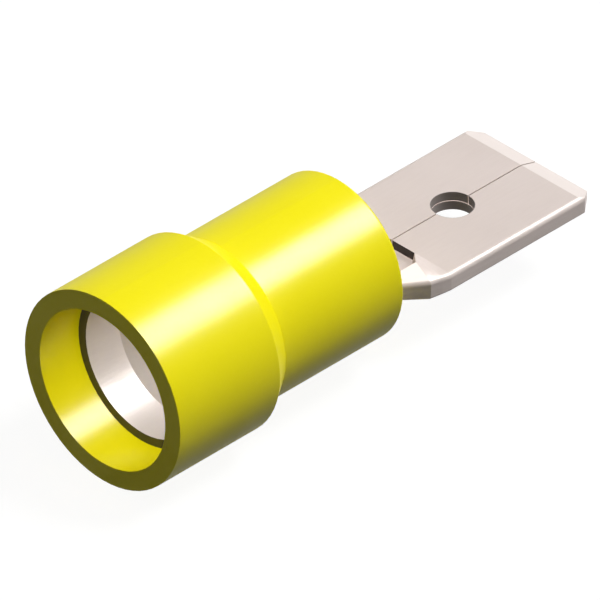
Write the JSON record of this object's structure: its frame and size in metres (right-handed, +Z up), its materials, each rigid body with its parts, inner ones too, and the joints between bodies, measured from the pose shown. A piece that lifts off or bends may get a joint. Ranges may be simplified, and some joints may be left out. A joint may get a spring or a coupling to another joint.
{
  "type": "male spade terminal",
  "caption": "Insulated crimp terminal: a yellow sleeve over a metal barrel, with a flat double-folded male tab that pushes into a spade receptacle.",
  "frame": {"origin": "centre of the wire mouth, on the axis of the barrel, in the plane of the sleeve's open end", "axes": "+X along the axis from the wire mouth to the tip of the tab, +Z up and square to the tab's flat faces, with the tab below the axis, +Y across the tab"},
  "size_m": [0.0231, 0.0082, 0.0082],
  "materials": {
    "yellow_insulation": "smooth moulded gloss",
    "tinned_tube": "tin plated, satin",
    "tinned_sheet": "tin plated, satin"
  },
  "bodies": {
    "root": {"insulating_sleeve": "yellow_insulation", "support_tube": "tinned_tube", "terminal": "tinned_sheet"}
  },
  "joints": []
}
